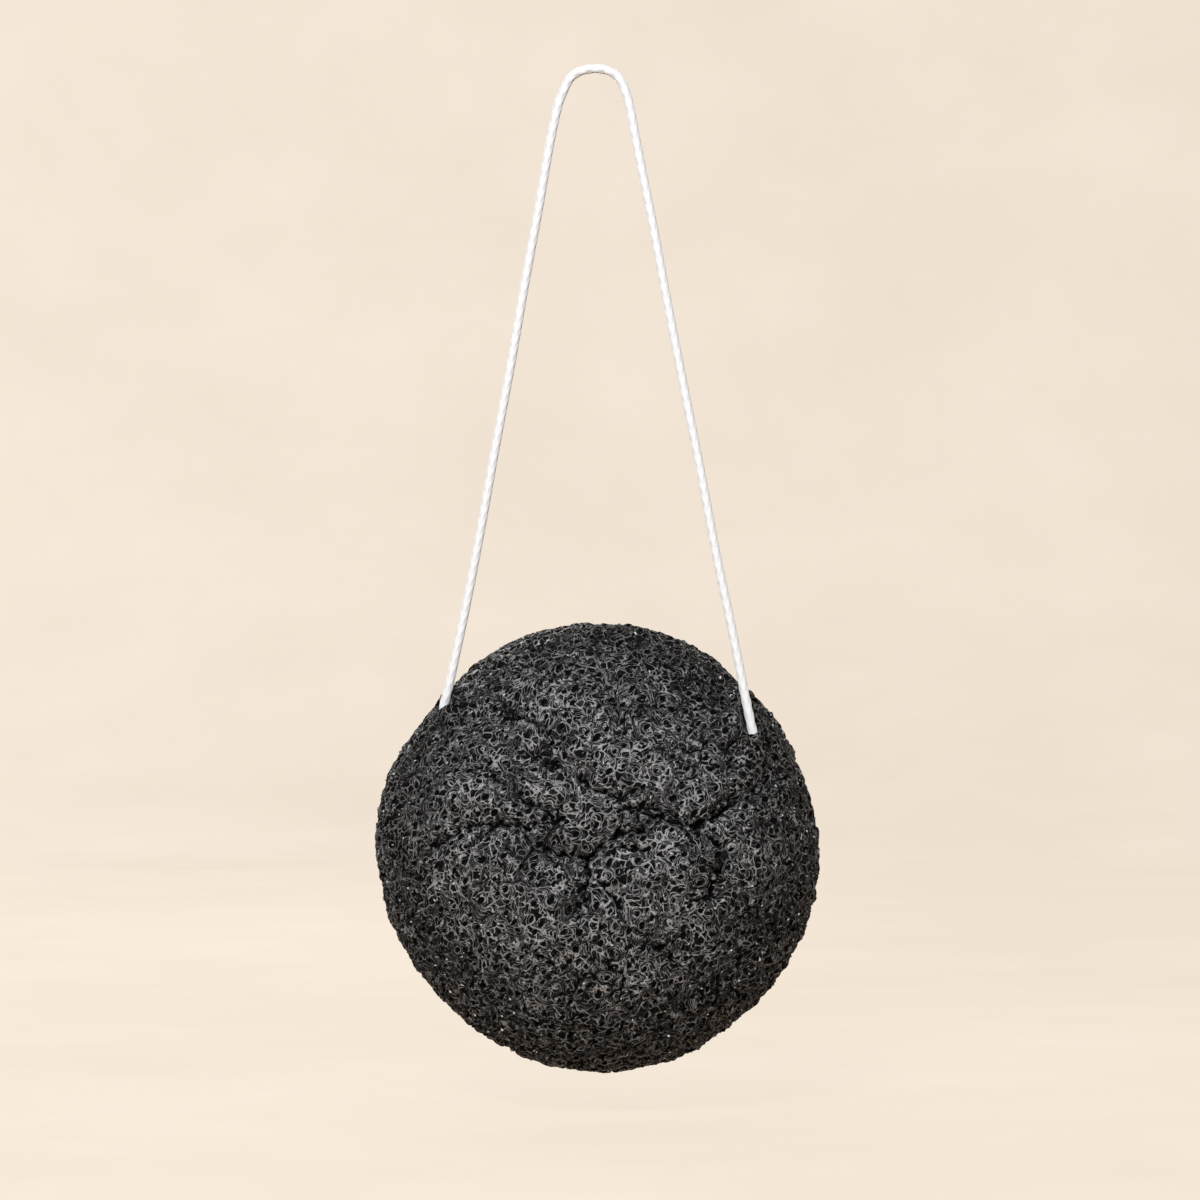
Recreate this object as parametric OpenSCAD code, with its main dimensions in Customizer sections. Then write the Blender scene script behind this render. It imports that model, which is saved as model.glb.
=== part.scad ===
// Konjac facial sponge on a loop of cord, as it hangs.
// The origin is the hanging point, on the inner side of the loop's crest.
// +Z is up, and the puckered dome looks along -Y.

/* [Sponge] */
// Diameter at the widest line
sponge_d = 80; // [76:0.5:84]
// Depth of the dome in front of the widest line
dome_depth = 26; // [24:0.5:29]
// Depth behind the widest line, down to the flat back
back_depth = 5; // [4:0.5:8]
// Rounding of the edge round the flat back, measured across the sponge
edge_round = 7; // [4:0.5:10]
// Upward tilt of the dome as the sponge hangs in balance
hang_tilt = 10.5; // [8:0.1:12]

/* [Folds] */
// Depth of the pucker in the middle of the dome
pucker_depth = 2; // [0:0.25:5]
// Radius of the pucker
pucker_r = 11; // [8:0.5:16]
// Depth of the deepest crease
crease_depth = 1.4; // [0:0.2:4]
// Half width of a crease
crease_w = 2; // [1.8:0.1:4]
// Height of the lobes that stand between the creases
lobe_height = 1; // [0:0.1:2]
// Radius of a lobe
lobe_r = 6.5; // [4:0.5:9]

/* [Cord] */
// Diameter of the cord
cord_d = 1.7; // [1.4:0.05:2]
// Running clearance between cord and channel, on the radius
running_gap = 0.08; // [0.03:0.01:0.1]
// Clearance between the foam and the cord where it bends out of its mouth
mouth_gap = 0.35; // [0.3:0.05:0.6]

/* [Knot] */
// Turns of cord in the knot that closes the loop
knot_turns = 4; // [3:1:5]
// Gap between the turns of the knot
turn_gap = 0.45; // [0.4:0.05:0.8]
// Gap between the knot and the cord that runs through it
wrap_gap = 0.05; // [0.03:0.01:0.1]
// Clearance round the knot in its pocket
pocket_gap = 0.3; // [0.2:0.05:0.6]

/* [Swing] */
// Turn of the sponge with its dome going up, which the mouths leave room for
swing_up = 40; // [20:1:45]
// Turn of the sponge with its dome going down
swing_down = 12; // [5:1:15]

/* [Hidden] */
overrun = 1;

// Places of the free cord as seen from the front, from the left mouth over the crest to the right one
route_xz = [
    [-22.4, -117.3], [-24.1, -117.1], [-25.7, -116.5], [-26.9, -115.2], [-27.2, -113.4],
    [-26.7, -111.6], [-26.1, -109], [-25, -104], [-23.1, -95], [-20.6, -82], [-17.9, -67],
    [-15.1, -52], [-12.5, -37], [-10.1, -24], [-8.2, -13], [-6.7, -6], [-5.5, -2.8],
    [-4.4, -0.8], [-2.6, 0.4], [0, 0.85], [2.5, 0.4], [4.2, -0.8], [5.3, -2.9],
    [6.3, -6.5], [7.7, -14], [10.1, -26], [12.7, -40], [15.6, -55], [18.6, -70],
    [21.4, -85], [24.1, -98], [26, -107.5], [27.2, -113.4], [27.9, -116.8],
    [28.2, -118.5], [27.5, -120.2], [26.2, -121.3], [24.5, -121.6], [22.8, -121.4]
];
// The cord hangs in one upright plane, and goes this share of its way across towards the viewer
slant_share = 0.125;
route = [for (p = route_xz) [p[0], -p[0] * slant_share, p[1]]];
left_end = route[0];
right_end = route[len(route) - 1];
// Steps of the tube along the route, in cord diameters, and its sides
ring_step_share = 2.5;
cord_sides = 8;

// Directions of the channel and of the cord's plane
run_length = norm(right_end - left_end);
run_dir = (right_end - left_end) / run_length;
run_middle = (left_end + right_end) / 2;
plane_side = unit(cross([0, 0, 1], run_dir));
plane_up = cross(run_dir, plane_side);

// Place of the channel in the untilted sponge, from the middle of its widest line
channel_forward = 10.3;
channel_rise = 17.9;
middle = run_middle - tilted([0, -channel_forward, channel_rise]);

// Outline of the sponge: azimuth, share of the radius in or out, and half width in degrees
outline_shares = [
    [95, 0.02, 50], [138, -0.041, 18], [190, -0.01, 8], [225, -0.024, 30], [278, 0.022, 35],
    [345, 0.014, 20], [20, -0.012, 12], [50, -0.018, 8]
];
// Fullness of the dome: 2 is an ellipse, and more is squarer
dome_power = 2.05;

// The creases, as seen from the front while the sponge hangs: a share of the depth, then the
// points that the crease runs through, in shares of the radius from the middle
crease_shares = [
    [0.7, [-0.4, 0.61], [-0.31, 0.6], [-0.25, 0.56], [-0.21, 0.51], [-0.21, 0.46]],
    [0.6, [-0.34, 0.43], [-0.23, 0.42], [-0.08, 0.35], [-0.02, 0.3], [0.07, 0.27], [0.21, 0.19]],
    [0.9, [0.21, 0.19], [0.3, 0.17], [0.38, 0.13], [0.47, 0.13], [0.56, 0.18], [0.63, 0.25], [0.73, 0.29]],
    [0.7, [-0.5, 0.39], [-0.45, 0.34], [-0.4, 0.31]],
    [0.7, [-0.36, 0.26], [-0.32, 0.22], [-0.26, 0.23], [-0.18, 0.16], [-0.15, 0.17]],
    [0.7, [-0.73, 0.01], [-0.67, 0.06], [-0.58, 0.12], [-0.45, 0.13], [-0.34, 0.14], [-0.3, 0.1]],
    [0.9, [-0.22, 0.03], [-0.14, -0.01], [-0.04, -0.02], [-0.04, -0.12], [-0.06, -0.2], [-0.1, -0.25]],
    [0.5, [0.01, -0.12], [0.07, -0.19], [0.11, -0.24]],
    [0.6, [-0.04, -0.02], [0.02, 0.04], [0.06, 0.08], [0.12, 0.1], [0.21, 0.11]],
    [0.4, [0.02, 0.04], [0.1, 0.03], [0.22, 0.02]],
    [0.8, [0.39, 0.11], [0.51, 0.07], [0.56, 0], [0.54, -0.12], [0.51, -0.2]],
    [0.4, [0.09, 0.77], [0.09, 0.7], [0.11, 0.53]],
    [0.5, [0.61, 0.43], [0.58, 0.37]],
    [0.5, [0.23, -0.37], [0.34, -0.48]],
    [0.5, [-0.27, -0.45], [-0.2, -0.5]]
];
// The lobes between the creases: places in shares of the radius, and shares of the lobe height
lobe_shares = [
    [-0.16, 0.63, 0.8], [0.2, 0.5, 1], [-0.52, 0.3, 1], [-0.47, -0.02, 0.7], [-0.22, -0.24, 0.9],
    [0.04, -0.3, 0.6], [0.34, -0.06, 1], [0.68, 0.02, 1], [0.2, -0.46, 0.6], [0.02, 0.15, 0.3]
];
pucker_shares = [-0.02, 0.07];

// The grid that carries the form
around = 56;
dome_rings = 16;
edge_rings = 5;
// How far the form bulges past the flat back before it is cut flat
back_trim = 0.5;

// Sizes of the mouths, where the cord turns out of the channel
bend_r = 2 * cord_d;
straight_end = cord_d;
slot_half = cord_d / 2 + mouth_gap;
mouth_reach = 7.2 * cord_d;
bend_steps = 8;
// How far each leg of the loop leans in over the sponge from square to the channel
left_lean = lean_of(route[7] - route[5], -run_dir);
right_lean = lean_of(route[len(route) - 8] - route[len(route) - 6], run_dir);

// Sizes of the knot and its pocket
wrap_r = cord_d + wrap_gap;
wrap_pitch = cord_d + turn_gap;
knot_length = knot_turns * wrap_pitch + cord_d;
knot_r = wrap_r + cord_d / 2;
wrap_steps = 14;
wrap_sides = 6;

function unit(v) = v / norm(v);
function lean_of(leg, out) = -asin(unit(leg) * out);
function total(v, i = 0) = i < len(v) ? v[i] + total(v, i + 1) : 0;
function bell(x) = exp(-x * x);
function turn_between(a, b) = abs((a - b + 900) % 360 - 180);
function tilted(p) = [
    p[0],
    p[1] * cos(hang_tilt) + p[2] * sin(hang_tilt),
    p[2] * cos(hang_tilt) - p[1] * sin(hang_tilt)
];

// Distance from a point to a stretch between two points, and to a run of such stretches
function to_stretch(p, a, b) =
    let (ab = b - a, t = min(1, max(0, (p - a) * ab / (ab * ab)))) norm(p - a - t * ab);
function to_line(p, line) = min([for (i = [1 : len(line) - 2]) to_stretch(p, line[i], line[i + 1])]);

// Radius of the widest line at an azimuth
function outline_r(az) =
    sponge_d / 2 * (1 + total([for (s = outline_shares) s[1] * bell(turn_between(az, s[0]) / s[2])]));

// Height of the folds over the plain form at a place seen from the front, in shares of the radius
function fold_height(p) =
    let (radius = sponge_d / 2)
    lobe_height * total([for (s = lobe_shares) s[2] * bell(norm(p - [s[0], s[1]]) * radius / lobe_r)])
    - crease_depth * max([for (c = crease_shares) c[0] * bell(to_line(p, c) * radius / crease_w)])
    - pucker_depth * bell(norm(p - pucker_shares) * radius / pucker_r);

// A point of the dome, from its azimuth and its angle from the crown, pushed in or out by the folds
function dome_point(az, angle) =
    let (
        r = outline_r(az),
        across = pow(sin(angle), 2 / dome_power),
        forward = pow(cos(angle), 2 / dome_power),
        plain = [r * across * cos(az), -dome_depth * forward, r * across * sin(az)],
        out = pow(across, dome_power - 1) / r,
        ahead = pow(forward, dome_power - 1) / dome_depth,
        normal = unit([out * cos(az), -ahead, out * sin(az)]),
        seen = tilted(plain) * 2 / sponge_d
    )
    plain + normal * fold_height([seen[0], seen[2]]) * forward;

// A point of the rounded edge behind the widest line, which bulges a little past the flat back
function edge_point(az, angle) =
    let (r = outline_r(az) - edge_round * (1 - cos(angle)))
    [r * cos(az), (back_depth + back_trim) * sin(angle), r * sin(az)];

// Triangles between rings of equal length, with a point in front of them and one behind
function shell_faces(rings, sides) = concat(
    [for (j = [0 : sides - 1]) [0, 1 + j, 1 + (j + 1) % sides]],
    [
        for (i = [0 : rings - 2], j = [0 : sides - 1], half = [0, 1])
            let (a = 1 + i * sides + j, b = 1 + i * sides + (j + 1) % sides)
            half == 0 ? [a, a + sides, b] : [b, a + sides, b + sides]
    ],
    [
        for (j = [0 : sides - 1])
            let (base = 1 + (rings - 1) * sides) [base + j, base + sides, base + (j + 1) % sides]
    ]
);

module puff() {
    rings = dome_rings + edge_rings;
    points = concat(
        [dome_point(0, 0)],
        [
            for (i = [1 : dome_rings], j = [0 : around - 1])
                dome_point(-360 * j / around, 90 * i / dome_rings)
        ],
        [
            for (i = [1 : edge_rings], j = [0 : around - 1])
                edge_point(-360 * j / around, 90 * i / edge_rings)
        ],
        [[0, back_depth + back_trim, 0]]
    );
    difference() {
        polyhedron(points, shell_faces(rings, around), convexity = 6);
        translate([-sponge_d, back_depth, -sponge_d])
            cube([2 * sponge_d, back_trim + overrun, 2 * sponge_d]);
    }
}

// Puts a shape at an end of the channel: its Z runs out along the channel, and its X up
module at_end(place, out) {
    side = cross(out, plane_up);
    multmatrix([
        [plane_up[0], side[0], out[0], place[0]],
        [plane_up[1], side[1], out[1], place[1]],
        [plane_up[2], side[2], out[2], place[2]],
        [0, 0, 0, 1]
    ]) children();
}

// Outline of the way that the cord takes out of the channel, with its clearance: places in it are
// the distance from the channel's line, then the distance out from the channel's end
function bend_place(r, angle) = [bend_r - r * cos(angle), straight_end + r * sin(angle)];
function mouth_outline(lean) =
    let (
        outer_r = bend_r + slot_half,
        inner_r = bend_r - slot_half,
        meets_line = acos(bend_r / outer_r),
        bend_end = 90 + lean,
        leg = mouth_reach * [sin(bend_end), cos(bend_end)]
    )
    concat(
        [[0, -slot_half / 2]],
        [
            for (k = [0 : bend_steps])
                bend_place(outer_r, meets_line + (bend_end - meets_line) * k / bend_steps)
        ],
        [bend_place(outer_r, bend_end) + leg, bend_place(inner_r, bend_end) + leg],
        [for (k = [0 : bend_steps]) bend_place(inner_r, bend_end * (1 - k / bend_steps))],
        [[slot_half, -slot_half / 2]]
    );

// The slot that lets the sponge swing round the cord between its two limits
module mouth(lean, up_side) {
    front = up_side * swing_up;
    back = -up_side * swing_down;
    far = 2 * mouth_reach;
    intersection() {
        rotate_extrude($fn = 64) polygon(mouth_outline(lean));
        translate([0, 0, -slot_half]) linear_extrude(far) polygon([
            strip_corner(front, -slot_half, up_side * slot_half),
            strip_corner(front, far, up_side * slot_half),
            strip_corner((front + back) / 2, 2 * far, 0),
            strip_corner(back, far, -up_side * slot_half),
            strip_corner(back, -slot_half, -up_side * slot_half)
        ]);
    }
}
function strip_corner(angle, along, aside) =
    [along * cos(angle) - aside * sin(angle), along * sin(angle) + aside * cos(angle)];

// The channel round the threaded cord, with the pocket that holds the knot
module channel() {
    channel_r = cord_d / 2 + running_gap;
    pocket_r = knot_r + pocket_gap;
    pocket_length = knot_length + 2 * pocket_gap;
    at_end(left_end, run_dir) {
        translate([0, 0, -slot_half / 2]) cylinder(run_length + slot_half, r = channel_r, $fn = 48);
        translate([0, 0, (run_length - pocket_length) / 2]) cylinder(pocket_length, r = pocket_r, $fn = 48);
    }
}

module sponge_body() {
    color([0.1, 0.1, 0.105]) difference() {
        translate(middle) rotate([-hang_tilt, 0, 0]) puff();
        channel();
        at_end(left_end, -run_dir) mouth(left_lean, -1);
        at_end(right_end, run_dir) mouth(right_lean, 1);
    }
}

// A point on a smooth curve through four route points, between the middle two
function curve_point(a, b, c, d, t) =
    b + t * (c - a) / 2 + t * t * (a - 2.5 * b + 2 * c - 0.5 * d) + t * t * t * (1.5 * (b - c) + (d - a) / 2);
function curve(points) = [
    for (i = [0 : len(points) - 2])
        let (
            b = points[i],
            c = points[i + 1],
            a = i > 0 ? points[i - 1] : 2 * b - c,
            d = i < len(points) - 2 ? points[i + 2] : 2 * c - b,
            steps = max(1, round(norm(c - b) / cord_d / ring_step_share))
        )
        for (k = [0 : steps - 1]) curve_point(a, b, c, d, k / steps)
];

// A closed tube along points: its rings stay square to the way, with one side to the front
function tube_ring(centre, along, side, sides, r) =
    let (first = unit(side - (side * along) * along), second = cross(along, first))
    [for (k = [0 : sides - 1]) centre + r * (cos(360 * k / sides) * first + sin(360 * k / sides) * second)];
module tube(line, ways, side_list, sides, r) {
    last = len(line) - 1;
    points = concat(
        [line[0]],
        [for (i = [0 : last]) each tube_ring(line[i], ways[i], side_list[i], sides, r)],
        [line[last]]
    );
    polyhedron(points, shell_faces(last + 1, sides), convexity = 10);
}

module hanging_cord() {
    line = concat(curve(route), [right_end]);
    last = len(line) - 1;
    ways = [
        for (i = [0 : last])
            i == 0 ? -run_dir : i == last ? -run_dir : unit(line[i + 1] - line[i - 1])
    ];
    echo(free_cord_length = total([for (i = [1 : last]) norm(line[i] - line[i - 1])]), rings = last + 1);
    color([0.93, 0.92, 0.9]) tube(line, ways, [for (p = line) plane_side], cord_sides, cord_d / 2);
}

module threaded_run() {
    color([0.93, 0.92, 0.9]) at_end(left_end, run_dir) cylinder(run_length, d = cord_d, $fn = 48);
}

// A point of the knot's winding, from its turn
function wrap_point(turn) = [
    wrap_r * cos(360 * turn), wrap_r * sin(360 * turn), (turn - knot_turns / 2) * wrap_pitch
];
module end_knot() {
    turns = [for (k = [0 : knot_turns * wrap_steps]) k / wrap_steps];
    line = [for (t = turns) wrap_point(t)];
    ways = [for (t = turns) unit([-sin(360 * t), cos(360 * t), wrap_pitch / (2 * PI * wrap_r)])];
    color([0.93, 0.92, 0.9]) at_end(run_middle, run_dir)
        tube(line, ways, [for (t = turns) [0, 0, 1]], wrap_sides, cord_d / 2);
}

sponge_body();
hanging_cord();
threaded_run();
end_knot();
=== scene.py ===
"""A konjac sponge on its hanging cord: folded foam with strands and pores, a braided cord, and a plain stage"""
import itertools
import math

import bpy
import numpy as np
from bpy.props import FloatProperty, FloatVectorProperty, IntProperty, PointerProperty
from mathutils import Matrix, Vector


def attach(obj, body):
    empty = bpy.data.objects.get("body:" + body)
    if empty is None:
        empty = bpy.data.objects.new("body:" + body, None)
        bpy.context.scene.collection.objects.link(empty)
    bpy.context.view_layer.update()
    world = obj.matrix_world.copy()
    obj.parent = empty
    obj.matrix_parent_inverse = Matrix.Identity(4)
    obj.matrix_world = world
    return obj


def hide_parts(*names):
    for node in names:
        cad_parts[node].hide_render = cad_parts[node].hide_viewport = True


bl_info = {
    "name": "Konjac sponge on a cord",
    "version": (1, 0, 0),
    "blender": (4, 5, 0),
    "location": "View3D > Sidebar > Sponge",
    "description": "Builds a hanging konjac sponge of open foam on a braided cord",
    "category": "Add Mesh",
}

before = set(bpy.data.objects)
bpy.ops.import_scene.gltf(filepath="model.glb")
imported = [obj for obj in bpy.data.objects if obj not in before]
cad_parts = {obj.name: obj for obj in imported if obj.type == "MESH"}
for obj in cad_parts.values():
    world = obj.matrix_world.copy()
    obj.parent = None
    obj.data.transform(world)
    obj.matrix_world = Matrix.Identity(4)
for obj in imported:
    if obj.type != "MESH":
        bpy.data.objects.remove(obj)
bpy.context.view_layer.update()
MM = 0.001

# ---- Cord: the places of the free loop, from the left mouth over the crest to the right one ----
ROUTE_XZ = [
    (-0.0224, -0.1173), (-0.0241, -0.1171), (-0.0257, -0.1165), (-0.0269, -0.1152), (-0.0272, -0.1134),
    (-0.0267, -0.1116), (-0.0261, -0.109), (-0.025, -0.104), (-0.0231, -0.095), (-0.0206, -0.082),
    (-0.0179, -0.067), (-0.0151, -0.052), (-0.0125, -0.037), (-0.0101, -0.024), (-0.0082, -0.013),
    (-0.0067, -0.006), (-0.0055, -0.0028), (-0.0044, -0.0008), (-0.0026, 0.0004), (0, 0.00085),
    (0.0025, 0.0004), (0.0042, -0.0008), (0.0053, -0.0029), (0.0063, -0.0065), (0.0077, -0.014),
    (0.0101, -0.026), (0.0127, -0.04), (0.0156, -0.055), (0.0186, -0.07), (0.0214, -0.085),
    (0.0241, -0.098), (0.026, -0.1075), (0.0272, -0.1134), (0.0279, -0.1168), (0.0282, -0.1185),
    (0.0275, -0.1202), (0.0262, -0.1213), (0.0245, -0.1216), (0.0228, -0.1214),
]
SLANT = 0.125
ROUTE = np.array([(x, -x * SLANT, z) for x, z in ROUTE_XZ])
LEFT_END, RIGHT_END = ROUTE[0], ROUTE[-1]


def unit(v):
    return v / np.maximum(np.linalg.norm(v, axis=-1, keepdims=True), 1e-12)


RUN_DIR = unit(RIGHT_END - LEFT_END)
RUN_MIDDLE = (LEFT_END + RIGHT_END) / 2
PLANE_SIDE = unit(np.cross((0, 0, 1), RUN_DIR))
PLANE_UP = np.cross(RUN_DIR, PLANE_SIDE)

# ---- Foam: the folds as seen from the front, in shares of the radius from the middle of the sponge ----
# Each crease is a share of the depth, then the places that it runs through.
CREASES = [
    (0.7, (-0.4, 0.61), (-0.31, 0.6), (-0.25, 0.56), (-0.21, 0.51), (-0.21, 0.46)),
    (0.6, (-0.34, 0.43), (-0.23, 0.42), (-0.08, 0.35), (-0.02, 0.3), (0.07, 0.27), (0.21, 0.19)),
    (0.9, (0.21, 0.19), (0.3, 0.17), (0.38, 0.13), (0.47, 0.13), (0.56, 0.18), (0.63, 0.25), (0.73, 0.29)),
    (0.7, (-0.5, 0.39), (-0.45, 0.34), (-0.4, 0.31)),
    (0.7, (-0.36, 0.26), (-0.32, 0.22), (-0.26, 0.23), (-0.18, 0.16), (-0.15, 0.17)),
    (0.7, (-0.73, 0.01), (-0.67, 0.06), (-0.58, 0.12), (-0.45, 0.13), (-0.34, 0.14), (-0.3, 0.1)),
    (0.9, (-0.22, 0.03), (-0.14, -0.01), (-0.04, -0.02), (-0.04, -0.12), (-0.06, -0.2), (-0.1, -0.25)),
    (0.5, (0.01, -0.12), (0.07, -0.19), (0.11, -0.24)),
    (0.6, (-0.04, -0.02), (0.02, 0.04), (0.06, 0.08), (0.12, 0.1), (0.21, 0.11)),
    (0.4, (0.02, 0.04), (0.1, 0.03), (0.22, 0.02)),
    (0.8, (0.39, 0.11), (0.51, 0.07), (0.56, 0), (0.54, -0.12), (0.51, -0.2)),
    (0.4, (0.09, 0.77), (0.09, 0.7), (0.11, 0.53)),
    (0.5, (0.61, 0.43), (0.58, 0.37)),
    (0.5, (0.23, -0.37), (0.34, -0.48)),
    (0.5, (-0.27, -0.45), (-0.2, -0.5)),
]
# Each lobe is a place and a share of the height.
LOBES = [
    (-0.16, 0.63, 0.8), (0.2, 0.5, 1), (-0.52, 0.3, 1), (-0.47, -0.02, 0.7), (-0.22, -0.24, 0.9),
    (0.04, -0.3, 0.6), (0.34, -0.06, 1), (0.68, 0.02, 1), (0.2, -0.46, 0.6), (0.02, 0.15, 0.3),
]
PUCKER = (-0.02, 0.07)
# The outline of the sponge: azimuth, share of the radius in or out, and half width in degrees.
OUTLINE = [
    (95, 0.02, 50), (138, -0.041, 18), (190, -0.01, 8), (225, -0.024, 30), (278, 0.022, 35),
    (345, 0.014, 20), (20, -0.012, 12), (50, -0.018, 8),
]
CHANNEL_FORWARD, CHANNEL_RISE = 10.3 * MM, 17.9 * MM
SWING_UP, SWING_DOWN = 40, 12
# Room round the cord in its mouths, and how much more of it the loose strands leave
CORD_ROOM, STRAND_ROOM = 0.4 * MM, 0.3 * MM
# Each mouth is how far from the channel's line the foam covers the cord, how far it may swell for that, the
# end of the channel, and the way out of it.
MOUTHS = [(1.6 * MM, 1.6 * MM, LEFT_END, -RUN_DIR), (3.7 * MM, 3 * MM, RIGHT_END, RUN_DIR)]
# A mouth shapes the foam this far round the end of the channel, and this far in or out along it.
MOUTH_REACH, MOUTH_DEPTH = 26 * MM, 9 * MM
# Length of the free cord near each end that swings in its mouth
LEG = 24 * MM
MOST_PRESSED = 3 * MM
# Pores that are tried; those that would meet another are left out
LARGE_PORES, SMALL_PORES = 160, 3000

# ---- Knot: turns, radius of its middle line, and length of a turn ----
KNOT_TURNS, KNOT_RADIUS, KNOT_PITCH = 4, 1.75 * MM, 2.15 * MM

# ---- Picture: its width in pixels, the size of a pixel at the widest line, and the place in its middle ----
PICTURE, PIXEL = 1200, 0.00018038
VIEW_X, VIEW_Y, VIEW_Z = 0.0009, 0.0068, -0.0943
SENSOR = 36
FLOOR, BEND, BACK = -0.1865, 0.5, 1.4
LAMP_TARGET = (0, -0.01, -0.135)


# ---- Settings ----
def length(name, default, description):
    return FloatProperty(name=name, description=description, default=default, unit="LENGTH")


def colour(name, default, description):
    return FloatVectorProperty(name=name, description=description, default=default, subtype="COLOR")


class CordSettings(bpy.types.PropertyGroup):
    """Sizes and colours of the braided cord"""
    diameter: length("Diameter", 0.0017, "Diameter over the strands")
    lay: length("Lay", 0.0096, "Length of cord in which a strand goes round once")
    strand_rise: length("Strand rise", 0.0002, "Height of the strands over their grooves")
    step: length("Step", 0.0002, "Distance between the rings of the mesh")
    sides: IntProperty(name="Sides", description="Sides of the mesh round the cord", default=32)
    yarn: colour("Yarn", (0.91, 0.915, 0.93), "Colour of the strands")
    # Painted shade: the grooves between the strands take this darker colour
    groove: colour("Grooves", (0.88, 0.875, 0.885), "Colour in the grooves between the strands")


class FoamSettings(bpy.types.PropertyGroup):
    """Sizes and colours of the sponge"""
    width: length("Width", 0.08, "Diameter at the widest line")
    dome_depth: length("Dome depth", 0.026, "Depth in front of the widest line")
    back_depth: length("Back depth", 0.005, "Depth behind the widest line")
    edge_round: length("Edge rounding", 0.007, "Rounding of the edge round the flat back")
    fullness: FloatProperty(name="Fullness", description="2 is an ellipse, and more is squarer", default=2.05)
    tilt: FloatProperty(name="Tilt", description="Upward tilt of the dome", default=math.radians(10.5),
                        subtype="ANGLE")
    pucker_depth: length("Pucker depth", 0.002, "Depth of the pucker")
    pucker_radius: length("Pucker radius", 0.011, "Radius of the pucker")
    crease_depth: length("Crease depth", 0.0014, "Depth of the deepest crease")
    crease_width: length("Crease width", 0.002, "Half width of a crease")
    line_depth: length("Pinch depth", 0.0012, "Depth of the pinched line in a crease")
    line_width: length("Pinch width", 0.00025, "Half width of the pinched line in a crease")
    lobe_height: length("Lobe height", 0.001, "Height of the lobes between the creases")
    lobe_radius: length("Lobe radius", 0.0065, "Radius of a lobe")
    rings: IntProperty(name="Rings", description="Rings of the mesh from the crown to the widest line",
                       default=210)
    pillow: length("Pillows", 0.005, "Size of the small cushions between the fine cracks")
    crack_depth: length("Crack depth", 0.0006, "Depth of the fine cracks")
    crack_width: length("Crack width", 0.00017, "Half width of the widest fine cracks")
    rim_flow: FloatProperty(name="Rim flow", description="How strongly the strands follow the outline",
                            default=0.8)
    # Painted shade: the share of the foam's colour taken away towards its rim
    rim_painted_shade: FloatProperty(name="Rim darkness", default=0.55,
                            description="Share of the light that the moulded edge takes away")
    strands: IntProperty(name="Strands tried", description="Strands tried on the front", default=500)
    crossing: IntProperty(name="Crossing strands", description="Loose strands across the others on the front",
                          default=200)
    # Painted highlights: these short strands are near-white in colour as well as less rough
    painted_glints: IntProperty(name="Glossy strands", description="Short glossy strands on the front", default=500)
    net_scale: FloatProperty(name="Net", description="Cells of the net along a metre", default=540)
    strand_width: length("Strand width", 0.00012, "Half the width of a strand")
    strand: colour("Strands", (0.36, 0.36, 0.367), "Colour of the strands")
    hollow: colour("Hollows", (0.004, 0.004, 0.0041), "Colour between and under the strands")


class StageSettings(bpy.types.PropertyGroup):
    """Floor, backdrop, lamps and camera"""
    wall: colour("Backdrop", (0.928, 0.819, 0.699), "Colour of the wall")
    camera_distance: length("Camera distance", 0.9, "From the widest line of the sponge")


# ---- Fields ----
class Lattice:
    """Smooth noise on a lattice of slopes"""

    def __init__(self, seed):
        rng = np.random.default_rng(seed)
        self.order = rng.permutation(256)
        self.slopes = unit(rng.normal(size=(256, 3))).astype(np.float32)

    def slope(self, cell):
        """The chance direction that belongs to each cell"""
        x, y, z = np.moveaxis(cell & 255, -1, 0)
        return self.slopes[self.order[(self.order[(self.order[x] + y) & 255] + z) & 255]]

    def at(self, places, size):
        """Noise of about -1 to 1 at places, with features of that size"""
        q = places / size
        cell = np.floor(q).astype(np.int64)
        f = (q - cell).astype(np.float32)
        fade = f * f * f * (f * (f * 6 - 15) + 10)
        found = 0
        for corner in itertools.product((0, 1), repeat=3):
            near = np.where(corner, fade, 1 - fade).prod(-1)
            found = found + ((f - np.array(corner, np.float32)) * self.slope(cell + corner)).sum(-1) * near
        return found * 1.7

    def borders(self, places, size):
        """Distance of each place to the nearest border between irregular cells of that size"""
        q = places / size
        cell = np.floor(q).astype(np.int64)
        f = (q - cell).astype(np.float32)
        first = np.full(q.shape[:-1], 9, np.float32)
        second = first.copy()
        for corner in itertools.product((-1, 0, 1), repeat=3):
            seed = np.array(corner, np.float32) + 0.5 + 0.45 * self.slope(cell + corner)
            d = np.linalg.norm(seed - f, axis=-1)
            second = np.minimum(second, np.maximum(first, d))
            first = np.minimum(first, d)
        return (second - first) / 2 * size


def bell(x):
    return np.exp(-x * x)


def smooth(low, high, x):
    t = np.clip((x - low) / (high - low), 0, 1)
    return t * t * (3 - 2 * t)


def to_line(places, line):
    """Distance of each place to a run of stretches, in two dimensions"""
    best = np.full(places.shape[:-1], 1e3)
    for a, b in zip(np.array(line[:-1]), np.array(line[1:])):
        t = np.clip(((places - a) @ (b - a)) / ((b - a) @ (b - a)), 0, 1)
        best = np.minimum(best, np.linalg.norm(places - a - t[..., None] * (b - a), axis=-1))
    return best


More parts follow.
